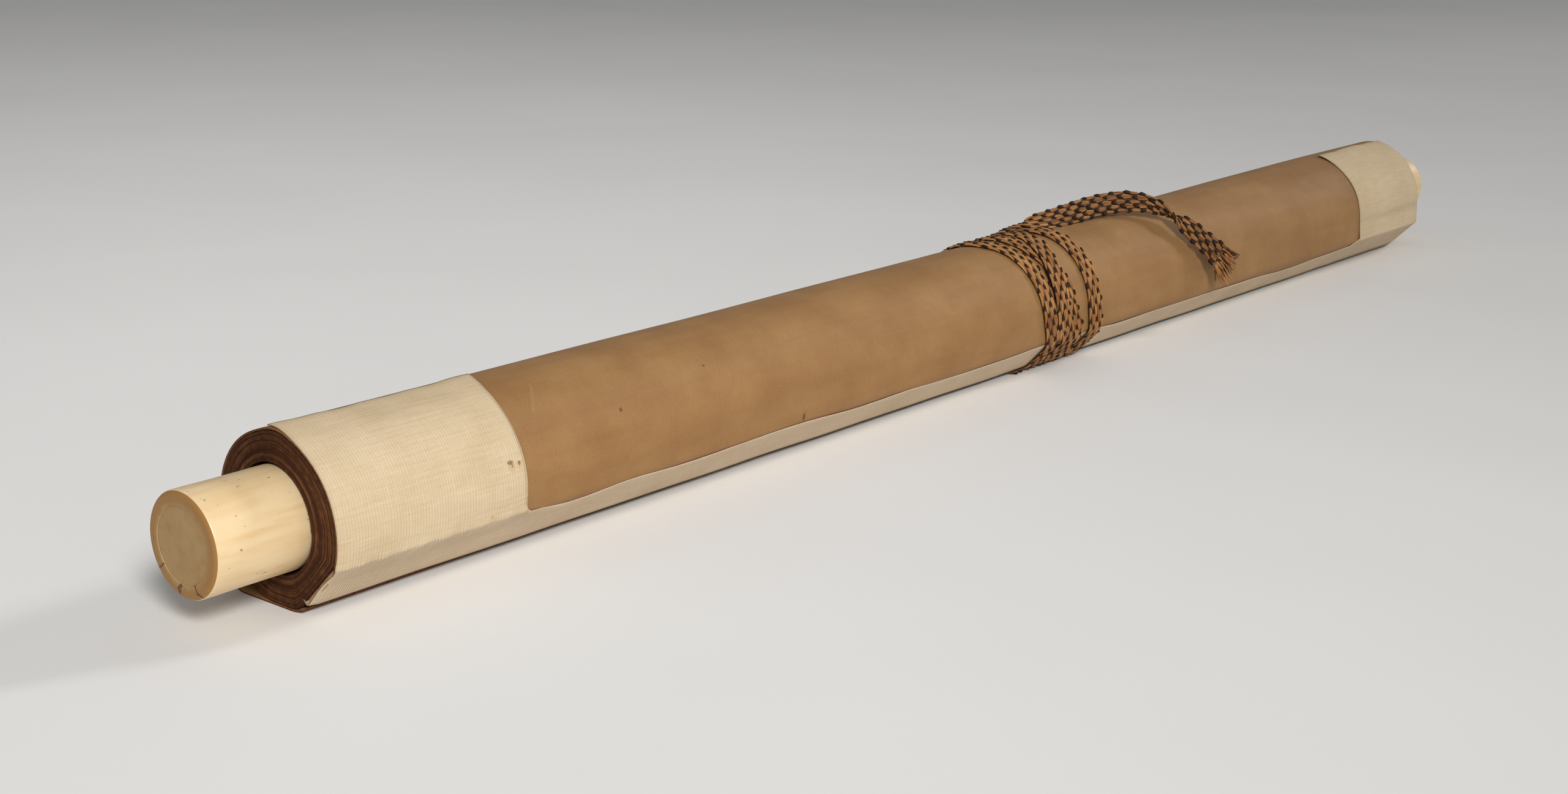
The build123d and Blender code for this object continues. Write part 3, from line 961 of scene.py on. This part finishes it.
def make_wound_roll(paper):
    """The wound paper with every turn of its spiral on both end faces."""
    cols = TURN_COLUMNS
    last = TURNS * cols
    mouth_radius = KNOB_RADIUS + MOUTH_CLEARANCE
    verts, faces, tones = [], [], []
    walls, bores = [], []
    for end, inward, seed in ((LEFT_END, 1, 11), (RIGHT_END, -1, 12)):
        seat = stave_seat(end)
        rng = random.Random(seed)
        tops = [rng.uniform(0, TURN_RAGGED) for _ in range(TURNS + 3)]
        shades = [rng.random() ** 2 for _ in range(TURNS + 3)]

        def end_radius(angle):
            swell = (1 - EDGE_SHARE) * SHEET_THICKNESS - GLUE_LINE
            turned = (angle + 180) % 360 - 180
            on_flat = wound_radius(angle, seat) / ROLL_RADIUS
            return (ROLL_RADIUS + swell) * on_flat + top_bulge(end, turned)

        def put(angle, radius, depth, tone=0.0):
            y, z = spot(angle, radius)
            verts.append((end + inward * depth, y, z))
            tones.append(tone)
            return len(verts) - 1

        def turn_point(k, share, depth, tone=0.0):
            angle = 360 * k / cols
            inner = axis_reach(angle, mouth_radius) + 0.0002
            outer = end_radius(angle) - 0.0001
            turn = (k / cols + share) / (TURNS + 1)
            return put(angle, inner + (outer - inner) * turn, depth, tone)

        def turn_top(share):
            points = []
            for k in range(last + 1):
                depth = by_turn(tops, k) + 0.00005 * wave(8, (k, 37), (k, 61))
                tone = by_turn(shades, k) * (0.75 + 0.25 * wave(3, (k, 53), (k, 97)))
                points.append(turn_point(k, share, depth, tone))
            return points

        def by_turn(values, k):
            low = int(k / cols)
            return values[low] + (values[low + 1] - values[low]) * (k / cols - low)

        def ring(radius_at, depth, tone=0.0):
            return [put(360 * k / cols, radius_at(360 * k / cols), depth, tone) for k in range(cols)]

        valley = [turn_point(k, 0, TURN_DEPTH) for k in range(last + cols + 1)]
        inner_top, outer_top = (turn_top(share) for share in TURN_TOP)
        mouth = ring(lambda angle: axis_reach(angle, mouth_radius), MOUTH_DEPTH)
        bore = ring(lambda angle: axis_reach(angle, ROLLER_RADIUS), MOUTH_DEPTH)
        rim = ring(end_radius, RIM_DEPTH, 0.3)
        wall = ring(lambda angle: wound_radius(angle, seat), EDGE_TAPER, 0.1)

        def quad(*corners):
            faces.append(corners if inward < 0 else corners[::-1])

        for k in range(last):
            quad(valley[k], inner_top[k], inner_top[k + 1], valley[k + 1])
            quad(inner_top[k], outer_top[k], outer_top[k + 1], inner_top[k + 1])
            quad(outer_top[k], valley[k + cols], valley[k + cols + 1], outer_top[k + 1])
        quad(valley[0], valley[cols], outer_top[0], inner_top[0])
        quad(valley[last], inner_top[last], outer_top[last], valley[last + cols])
        for k in range(cols):
            after = (k + 1) % cols
            quad(mouth[k], valley[k], valley[k + 1], mouth[after])
            quad(bore[k], mouth[k], mouth[after], bore[after])
            quad(valley[last + k], rim[k], rim[after], valley[last + k + 1])
            quad(rim[k], wall[k], wall[after], rim[after])
        quad(mouth[0], valley[cols], valley[0])
        quad(rim[0], valley[last], valley[last + cols])
        walls.append(wall)
        bores.append(bore)
    for k in range(cols):
        after = (k + 1) % cols
        faces.append((walls[0][k], walls[1][k], walls[1][after], walls[0][after]))
        faces.append((bores[0][after], bores[1][after], bores[1][k], bores[0][k]))
    roll = make_object("scroll_roll_turns", verts, faces, [paper], tones=tones, smooth_faces=False)
    finish_piece(roll, "wound_paper", "scroll_roll")


# Knobs


def lathe(name, profile, face_x, direction, materials, ring=None, steps=128):
    """Solid of revolution round the roller's axis: the profile gives depth behind the face, and radius.
    The part less deep than the ring takes the second material."""
    verts, faces, kinds = [], [], []
    count = len(profile)
    for i in range(steps):
        a = 2 * math.pi * i / steps
        for depth, radius in profile:
            verts.append((
                face_x - direction * depth,
                AXIS_Y + radius * math.cos(a),
                AXIS_Z + radius * math.sin(a),
            ))
    for i in range(steps):
        nxt = (i + 1) % steps
        for j in range(count - 1):
            corners = (i * count + j, nxt * count + j, nxt * count + j + 1, i * count + j + 1)
            faces.append(corners if direction > 0 else corners[::-1])
            on_ring = ring and max(profile[j][0], profile[j + 1][0]) < ring
            kinds.append(1 if on_ring else 0)
    for row, flip in ((0, True), (count - 1, False)):
        loop = [i * count + row for i in range(steps)]
        faces.append(tuple(loop if flip == (direction < 0) else loop[::-1]))
        kinds.append(0)
    return make_object(name, verts, faces, materials, kinds)


def knob_profile():
    """Bone tube from its bore over the face and the rounded rim to its far end."""
    profile = [(KNOB_LENGTH - 0.0002, PLUG_RADIUS), (0.0035, PLUG_RADIUS), (0.0006, PLUG_RADIUS)]
    profile += [(0.00002, PLUG_RADIUS), (0.0, PLUG_RADIUS + 0.00004)]
    profile += [(0.0, PLUG_RADIUS + 0.001), (0.0, KNOB_RADIUS - KNOB_RIM - 0.0004)]
    for i in range(9):
        a = math.pi / 2 * i / 8
        profile.append((KNOB_RIM - KNOB_RIM * math.cos(a), KNOB_RADIUS - KNOB_RIM + KNOB_RIM * math.sin(a)))
    profile += [(0.004, KNOB_RADIUS), (0.012, KNOB_RADIUS - 0.00008), (0.022, KNOB_RADIUS - 0.00004)]
    profile += [(KNOB_LENGTH - 0.0006, KNOB_RADIUS), (KNOB_LENGTH, KNOB_RADIUS - 0.0006)]
    return profile


def plug_profile():
    """Plug from its inner end to the middle of its uneven face."""
    profile = [(0.006, PLUG_RADIUS - 0.00003), (0.00006, PLUG_RADIUS - 0.00003)]
    profile += [(0.00003, PLUG_RADIUS - 0.00008), (0.00002, PLUG_RADIUS - 0.0004)]
    for i in range(1, 9):
        r = (PLUG_RADIUS - 0.0012) * (1 - i / 8.5)
        profile.append((0.00009 + 0.00006 * wave(2, (r, 0.0041)), r))
    return profile


def make_knobs(bone, ring_bone, plug_bone):
    """A bone tube with a rounded rim at each end, and its plug."""
    for name, direction in (("left_knob", -1), ("right_knob", 1)):
        low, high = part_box(name)
        face_x = high.x if direction > 0 else low.x
        bones = [bone, ring_bone]
        knob = lathe(name + "_bone", knob_profile()[::-1], face_x, direction, bones, KNOB_FACE_DEPTH)
        finish_piece(knob, "bone", name)
        plug = lathe(name + "_plug_bone", plug_profile(), face_x, direction, [plug_bone], steps=96)
        finish_piece(plug, "bone_plug", name + "_plug")


# The cord

# Place along the roll of each wrap, against the angle run since the cord's start
WRAP_RUN = [
    (60, 0.0015), (90, 0.0016), (180, -0.0035), (270, -0.0075), (287, -0.0036), (304, -0.0018),
    (319, -0.0006), (333, 0.0004), (358, 0.0024), (373, 0.0042), (386, 0.006), (410, 0.0085), (450, 0.0093),
    (540, 0.007), (625, 0.005), (660, 0.0075), (684, 0.0113), (720, 0.015), (744, 0.0195), (775, 0.023),
    (810, 0.0245), (900, 0.0195), (993, 0.01375), (1010, 0.012), (1033, 0.01), (1045, 0.0087),
    (1060, 0.0082), (1080, 0.009), (1100, 0.0117), (1125, 0.0153), (1170, 0.017), (1260, 0.0205),
    (1343, 0.0242), (1360, 0.027), (1386, 0.028), (1412, 0.0286), (1438, 0.0297), (1462, 0.0313),
    (1486, 0.0323), (1530, 0.0322), (1620, 0.029), (1690, 0.026),
]
# Where a wrap rides over another: start, full height from, to, end, and layers
WRAP_OVER = [(985, 1005, 1095, 1118, 1.0), (1185, 1205, 1318, 1345, 1.0), (1570, 1600, 1700, 1720, 1.4)]
WRAP_START = 60
WRAP_END = 1690
WRAP_STEP = 12
SPLINE_EASE = 1 / math.cos(math.radians(WRAP_STEP / 2)) ** 2

# The free end: control points near the CAD route, moved to the photo's line, and the way its face looks
TAIL_POINTS = [
    ((0.0265, 0.0058, 0.0451), (0, -0.1, 1)),
    ((0.0288, 0.0032, 0.0455), (0, -0.4, 0.9)),
    ((0.0345, 0.0018, 0.0457), (0, -0.6, 0.8)),
    ((0.046, 0.0004, 0.0464), (-0.05, -0.75, 0.65)),
    ((0.062, -0.0019, 0.0481), (-0.1, -0.85, 0.55)),
    ((0.075, -0.0063, 0.0484), (-0.2, -0.85, 0.5)),
    ((0.0835, -0.0112, 0.047), (-0.3, -0.8, 0.5)),
    ((0.088, -0.0164, 0.0432), (-0.3, -0.85, 0.4)),
    ((0.0934, -0.0206, 0.0384), (-0.3, -0.9, 0.3)),
    ((0.0994, -0.0233, 0.0338), (-0.3, -0.9, 0.25)),
    ((0.1046, -0.0256, 0.0294), (-0.3, -0.9, 0.25)),
    ((0.1112, -0.0278, 0.0228), (-0.3, -0.9, 0.25)),
]
# Shares of the free end between which it turns over
TWIST_FROM, TWIST_TO = 0.56, 0.76


def wrap_outline(x):
    """Outline of the tied scroll at x as points round the section, from the front over the top."""
    face = strip_face(x)
    leave = leave_angle(x, SHEET_RADIUS)
    corner = on_strip(face, crease(face, SHEET_RADIUS, leave))
    low = on_strip(face, STRIP_LOW)
    bend = loose_bend_centre()
    points = arc_points(SHEET_RADIUS, leave, LOOSE_ANGLE, 60)
    points.append(spot(LOOSE_ANGLE, SHEET_RADIUS))
    for i in range(13):
        points.append(around(bend, LOOSE_ANGLE + (270 - LOOSE_ANGLE) * i / 12, LOOSE_BEND_RADIUS))
    points += [(-REST_REACH, 0), low, corner]
    return points


def outline_radius(outline, angle):
    """Distance from the roll's centre to the outline at an angle."""
    tiny, slack = 1e-12, 1e-6
    a = math.radians(angle)
    ray = (-math.cos(a), math.sin(a))
    best = 0
    for p, q in zip(outline, outline[1:] + outline[:1]):
        px, pz = p[0], p[1] - CENTRE_HEIGHT
        dx, dz = q[0] - p[0], q[1] - p[1]
        det = ray[0] * -dz + ray[1] * dx
        if abs(det) < tiny:
            continue
        r = (px * -dz + pz * dx) / det
        t = (ray[0] * pz - ray[1] * px) / det
        if -slack <= t <= 1 + slack and r > best:
            best = r
    return best


def wrap_lift(run):
    """How far a wrap is carried out by the wraps that it passes over."""
    lift = 0
    for start, full, leave, end, layers in WRAP_OVER:
        lift = max(lift, layers * (smooth(start, full, run) - smooth(leave, end, run)))
    return lift * (CORD_THICKNESS + 0.0002)


def cord_route():
    """Control points of the wraps, and those of the free end."""
    points = []
    for run in range(WRAP_START, WRAP_END + 1, WRAP_STEP):
        x = table_value(WRAP_RUN, run)
        angle = -run
        radius = outline_radius(wrap_outline(x), angle) + CORD_REST + wrap_lift(run)
        y, z = spot(angle, radius * SPLINE_EASE)
        points.append(Vector((x, y, max(z, CORD_THICKNESS / 2))))
    return points, [Vector(p) for p, _ in TAIL_POINTS]


def spline_points(name, points):
    """Points along a NURBS curve with these control points."""
    curve = bpy.data.curves.new(name, "CURVE")
    curve.dimensions = "3D"
    curve.resolution_u = 12
    spline = curve.splines.new("NURBS")
    spline.points.add(len(points) - 1)
    for place, point in zip(spline.points, points):
        place.co = (*point, 1)
    spline.order_u = 3
    spline.use_endpoint_u = True
    holder = bpy.data.objects.new(name, curve)
    bpy.context.scene.collection.objects.link(holder)
    bpy.context.view_layer.update()
    mesh = bpy.data.meshes.new_from_object(holder)
    line = [v.co.copy() for v in mesh.vertices]
    bpy.data.objects.remove(holder)
    bpy.data.curves.remove(curve)
    bpy.data.meshes.remove(mesh)
    return line


def even_points(line, step):
    """The same line at an even spacing, and its length."""
    total = sum((b - a).length for a, b in zip(line, line[1:]))
    count = round(total / step)
    even = []
    run, i = 0, 0
    for k in range(count + 1):
        want = total * k / count
        while i < len(line) - 2 and run + (line[i + 1] - line[i]).length < want:
            run += (line[i + 1] - line[i]).length
            i += 1
        part = (line[i + 1] - line[i]).length
        even.append(line[i].lerp(line[i + 1], min(max((want - run) / part, 0), 1)))
    return even, total


class Ribbon:
    """The cord's line with its direction and the way its broad face looks, at any distance along it."""

    def __init__(self):
        wraps, tail = cord_route()
        self.step = 0.0005
        self.line, self.length = even_points(spline_points("cord_line", wraps + tail), self.step)
        last = len(self.line) - 1
        self.tangent = []
        for i in range(last + 1):
            self.tangent.append((self.line[min(i + 2, last)] - self.line[max(i - 2, 0)]).normalized())
        nearest = min(range(last // 2, last), key=lambda i: (self.line[i] - tail[1]).length)
        self.tail_from = nearest * self.step
        runs = [0]
        for a, b in zip(tail[1:], tail[2:]):
            runs.append(runs[-1] + (b - a).length)
        looks = [(r / runs[-1], Vector(look)) for r, (_, look) in zip(runs, TAIL_POINTS[1:])]
        self.normal = []
        for i, point in enumerate(self.line):
            radial = Vector((0, point.y, point.z - CENTRE_HEIGHT)).normalized()
            share = (i - nearest) / (last - nearest)
            look = radial
            if share > -0.1:
                aim = table_value(looks, share).normalized()
                look = radial.lerp(aim, smooth(-0.1, 0.05, share))
            t = self.tangent[i]
            look = (look - t * look.dot(t)).normalized()
            turn = math.pi * smooth(TWIST_FROM, TWIST_TO, share)
            self.normal.append(Matrix.Rotation(turn, 3, t) @ look)

    def at(self, distance):
        """Point, direction, face normal and sideways direction."""
        place = min(max(distance / self.step, 0), len(self.line) - 1.001)
        i = int(place)
        f = place - i
        point = self.line[i].lerp(self.line[i + 1], f)
        t = self.tangent[i].lerp(self.tangent[i + 1], f).normalized()
        n = self.normal[i].lerp(self.normal[i + 1], f)
        n = (n - t * n.dot(t)).normalized()
        return point, t, n, t.cross(n)

    def width(self, distance):
        """Share of the cord's width: it gathers in the twist and spreads at the frayed tip."""
        share = (distance - self.tail_from) / (self.length - self.tail_from)
        gathered = 0.42 * bump((TWIST_FROM + TWIST_TO) / 2, 0.085, share)
        return 1 - gathered + 0.4 * smooth(0.82, 1.02, share)

    def spot(self, distance, across, height):
        point, _, n, b = self.at(distance)
        return point + b * across * self.width(distance) + n * height


def above_table(point):
    """The same point, or the nearest one that isn't in the table."""
    return Vector((point.x, point.y, max(point.z, GLUE_LINE)))


def tube(path, radii, sides, verts, faces, up):
    """Closed tube along a short path, added to the lists."""
    first = len(verts)
    count = len(path)
    for i, point in enumerate(path):
        t = (path[min(i + 1, count - 1)] - path[max(i - 1, 0)]).normalized()
        side = t.cross(up).normalized()
        over = side.cross(t)
        for k in range(sides):
            a = 2 * math.pi * k / sides
            verts.append(above_table(point + (side * math.cos(a) + over * math.sin(a)) * radii[i]))
    for i in range(count - 1):
        for k in range(sides):
            a = first + i * sides + k
            b = first + i * sides + (k + 1) % sides
            faces.append((a, b, b + sides, a + sides))
    faces.append(tuple(first + k for k in reversed(range(sides))))
    faces.append(tuple(first + (count - 1) * sides + k for k in range(sides)))


def make_cord_base(ribbon, dark):
    """The body of the braid under its yarns, a thin ribbon that follows the whole line."""
    step = 0.0008
    verts, faces = [], []
    shape = [(-1, 0), (-0.85, 0.6), (0, 1), (0.85, 0.6), (1, 0), (0.85, -0.6), (0, -1), (-0.85, -0.6)]
    outline = [(across * BRAID_WIDTH / 2, height * BASE_HALF_THICKNESS) for across, height in shape]
    count = int(ribbon.length / step)
    sides = len(outline)
    for i in range(count + 1):
        for across, height in outline:
            verts.append(above_table(ribbon.spot(ribbon.length * i / count, across, height)))
    for i in range(count):
        for k in range(sides):
            a = i * sides + k
            b = i * sides + (k + 1) % sides
            faces.append((a, a + sides, b + sides, b))
    faces.append(tuple(range(sides)))
    faces.append(tuple(count * sides + k for k in reversed(range(sides))))
    return make_object("tie_cord", verts, faces, [dark])


def braid_places(ribbon):
    """Every tongue of the braid: distance along the cord, column and face, +1 outside and -1 inside."""
    rows = int((ribbon.length + 0.002) / BRAID_ROW)
    for row in range(1, rows):
        distance = row * BRAID_ROW
        columns = (-1, 1) if row % 2 else (-2, 0, 2)
        for column in columns:
            yield distance, column, 1
            if distance > ribbon.tail_from + 0.01:
                yield distance, column, -1


def make_cord_yarns(ribbon, tan, dark):
    """Tan tongues of four yarns each, and the dark mark over the top of each. The marks are larger on the
    free end, partly as they look there and partly to darken it for its shade, and its yarns take painted
    shade.
    """
    yarn_verts, yarn_faces, yarn_tones = [], [], []
    mark_verts, mark_faces, mark_tones = [], [], []
    rng = random.Random(5)
    half = BRAID_WIDTH / 2
    yarn_half = half - 0.0001
    for distance, column, face in braid_places(ribbon):
        free = smooth(0, 0.02, distance - ribbon.tail_from)
        across = column * BRAID_COLUMN
        edge = abs(column) == 2
        lean = 0.0003 * rng.uniform(-1, 1)
        distance += 0.0003 * rng.uniform(-1, 1)
        _, _, n, _ = ribbon.at(distance)
        for yarn in (-1.5, -0.5, 0.5, 1.5):
            path, radii = [], []
            stray = 0.00009 * rng.uniform(-1, 1)
            proud = 0.00008 * rng.uniform(-1, 1)
            for i in range(6):
                t = i / 5
                spread = 0.0001 + 0.00036 * math.sin(math.pi * min(t * 0.75 + 0.1, 1)) ** 1.5
                back = distance + BRAID_ROW - 2 * BRAID_ROW * t
                u = across + yarn * spread + lean * t + stray
                u = max(min(u, yarn_half), -yarn_half)
                height = 0.00016 + (0.00032 + proud) * math.sin(math.pi * t) ** 0.8
                if edge:
                    height -= 0.0002 * abs(u) / half
                path.append(ribbon.spot(back, u, face * height))
                radii.append(YARN_RADIUS * (0.75 + 0.3 * math.sin(math.pi * t)))
            before = len(yarn_verts)
            tube(path, radii, 4, yarn_verts, yarn_faces, n)
            # Random darker yarns, and painted shade on the free end
            yarn_tones += [rng.random() ** 2 * 0.8 + 0.2 * free] * (len(yarn_verts) - before)
        path, radii = [], []
        # Marks larger on the free end: partly their own size, partly to darken it for its shade
        size = rng.uniform(0.85, 1.15) * (1 + 0.35 * free)
        for i in range(7):
            t = i / 6 * 2 - 1
            u = across + lean + 0.00048 * size * t
            u = max(min(u, half), -half)
            back = distance - 0.0029 + 0.0015 * size * abs(t) ** 1.4
            height = 0.0006 - 0.00014 * t * t
            if edge:
                height -= 0.00022 * abs(u) / half
            path.append(ribbon.spot(back, u, face * height))
            radii.append(MARK_RADIUS * size * (1 - 0.5 * t * t))
        before = len(mark_verts)
        tube(path, radii, 5, mark_verts, mark_faces, n)
        mark_tones += [rng.random() * 0.8] * (len(mark_verts) - before)
    yarns = make_object("tie_cord_yarns", yarn_verts, yarn_faces, [tan], tones=yarn_tones)
    marks = make_object("tie_cord_marks", mark_verts, mark_faces, [dark], tones=mark_tones)
    return yarns, marks


def make_fringe(ribbon, tan, dark):
    """The frayed tip of the free end: loose yarns, every third one dark."""
    sag, curl_most = Vector((0, 0, -0.0006)), 0.0012
    verts, faces, kinds = [], [], []
    rng = random.Random(9)
    _, t, n, b = ribbon.at(ribbon.length)
    for i in range(FRINGE_YARNS):
        across = rng.uniform(-1, 1)
        height = rng.uniform(-0.0008, 0.0008)
        start = ribbon.spot(ribbon.length - FRINGE_START, across * BRAID_WIDTH * 0.47, height)
        reach = rng.uniform(0.0055, 0.0095)
        way = t + b * (across * 0.18 + rng.uniform(-0.12, 0.12)) + n * rng.uniform(-0.18, 0.18)
        way.normalize()
        curl = b * rng.uniform(-curl_most, curl_most) + n * rng.uniform(-curl_most, curl_most)
        path, radii = [], []
        for k in range(7):
            s = k / 6
            path.append(start + way * reach * s + curl * s * s + sag * s * s)
            radii.append(FRINGE_RADIUS * (1 - 0.5 * k / 6))
        before = len(faces)
        tube(path, radii, 5, verts, faces, n)
        kinds += [1 if i % 3 == 0 else 0] * (len(faces) - before)
    return make_object("tie_cord_fringe", verts, faces, [tan, dark], kinds)


def make_cord(tan, dark, edge):
    """The tie cord."""
    ribbon = Ribbon()
    base = make_cord_base(ribbon, edge)
    yarns, marks = make_cord_yarns(ribbon, tan, dark)
    fringe = make_fringe(ribbon, tan, edge)
    finish_piece(base, "tie_cord", "tie_cord_coil", "tie_cord_turn", "tie_cord_tail")
    for piece in (yarns, marks, fringe):
        finish_piece(piece, "tie_cord")
    round(ribbon.length, 3)


# Floor, light and camera


def make_floor(material):
    half = 4
    verts = [(-half, -half, 0), (half, -half, 0), (half, half, 0), (-half, half, 0)]
    floor = make_object("floor", verts, [(0, 1, 2, 3)], [material])


def make_light(name, place, aim, size, spread, watts, colour):
    """Round soft light with a cone of this spread."""
    lamp = bpy.data.lights.new(name, "AREA")
    lamp.shape = "DISK"
    lamp.size = size
    lamp.spread = math.radians(spread)
    lamp.energy = watts
    lamp.color = colour
    obj = bpy.data.objects.new(name, lamp)
    obj.location = place
    obj.rotation_euler = (Vector(aim) - Vector(place)).to_track_quat("-Z", "Y").to_euler()
    bpy.context.scene.collection.objects.link(obj)


def make_lights():
    """Soft main light from the front left, another from the right, and pale surroundings."""
    make_light(
        "main", place=(-1.6, -2.3, 1.7), aim=(-0.32, 0, 0.02),
        size=0.9, spread=28, watts=2.55, colour=(1, 0.99, 0.97),
    )
    make_light(
        "side", place=(3.3, -1.45, 1.9), aim=(-0.2, 0, 0.02),
        size=0.8, spread=50, watts=3.6, colour=(1, 0.98, 0.95),
    )
    world = bpy.data.worlds.new("studio")
    bpy.context.scene.world = world
    world.use_nodes = True
    background = world.node_tree.nodes["Background"]
    background.inputs["Color"].default_value = (1, 1, 1, 1)
    background.inputs["Strength"].default_value = 0.27


def make_camera():
    """The photo's place, direction and lens."""
    place = Vector((-0.5716, -0.3894, 0.1794))
    yaw, pitch = math.radians(49.99), math.radians(15.37)
    sensor, focal_pixels, photo_width = 36, 3422, 2560
    forward = Vector((
        math.sin(yaw) * math.cos(pitch),
        math.cos(yaw) * math.cos(pitch),
        -math.sin(pitch),
    ))
    data = bpy.data.cameras.new("camera")
    data.sensor_width = sensor
    data.lens = sensor * focal_pixels / photo_width
    data.clip_start = 0.01
    camera = bpy.data.objects.new("camera", data)
    camera.location = place
    camera.rotation_euler = forward.to_track_quat("-Z", "Y").to_euler()
    bpy.context.scene.collection.objects.link(camera)
    bpy.context.scene.camera = camera


def dress_nodes(wood):
    """The CAD nodes that stay: the roller and the stave."""
    for name in ("roller", "stave"):
        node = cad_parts[name]
        node.data.materials.clear()
        node.data.materials.append(wood)


bpy.context.scene.view_settings.view_transform = "Standard"
make_camera()
make_lights()
make_floor(floor_material())

silk = brown_silk_material(cover_marks())
cloth = cream_cloth_material(
    "cream_cloth", pale=(0.71, 0.56, 0.37), deep=(0.6, 0.455, 0.28), ribs=0.17, stains=band_stains(),
)
strip_cloth = cream_cloth_material(
    "strip_cloth", pale=(0.7, 0.56, 0.41), deep=(0.6, 0.46, 0.32), ribs=0.45, stains=[],
)
paper_edge = cut_edge_material("paper_edge", pale=(0.17, 0.068, 0.032), dark=(0.085, 0.03, 0.013))
cloth_edge = cut_edge_material("cloth_edge", pale=(0.3, 0.18, 0.1), dark=(0.17, 0.09, 0.045))
tan_yarn = yarn_material(
    "cord_tan", pale=(0.54, 0.28, 0.105), dark=(0.38, 0.17, 0.055), shade=(0.17, 0.06, 0.018),
)
dark_yarn = yarn_material(
    "cord_dark", pale=(0.024, 0.014, 0.006), dark=(0.013, 0.008, 0.004), shade=(0.045, 0.02, 0.007),
)
edge_yarn = yarn_material(
    "cord_edge", pale=(0.13, 0.045, 0.017), dark=(0.08, 0.027, 0.01), shade=(0.05, 0.018, 0.007),
)
bone = bone_material("bone", pale=(0.83, 0.63, 0.37), dark=(0.7, 0.45, 0.19), specks=0.715, shine=0.45)
# Painted shade: the knobs' end faces, ring and plug, take darker copies of the bone's colours for the shade
# they stand in; the ring's orange and the plug's paler tone are their own.
FACE = {"pale": (0.4, 0.255, 0.11), "dark": (0.33, 0.19, 0.07)}
ring_bone = bone_material(
    "bone_ring", **FACE, specks=0.72, shine=0.2,
    cracks=((-38, 0.03), (-80, 0.04), (-118, 0.03)), border=(0.0094, 0.0107, (0.34, 0.175, 0.053)),
)
plug_bone = bone_material(
    "bone_plug", **FACE, specks=0.74, shine=0.15, border=(0.0085, 0.0098, (0.365, 0.205, 0.072)),
)

make_cord(tan_yarn, dark_yarn, edge_yarn)
sheet, sheet_wide, sheet_long = make_cover_sheet(silk, paper_edge)
border, cloth_long, cloth_area = make_cover_border(cloth, strip_cloth, cloth_edge)
make_wound_roll(wound_paper_material())
make_knobs(bone, ring_bone, plug_bone)
dress_nodes(wood_material())
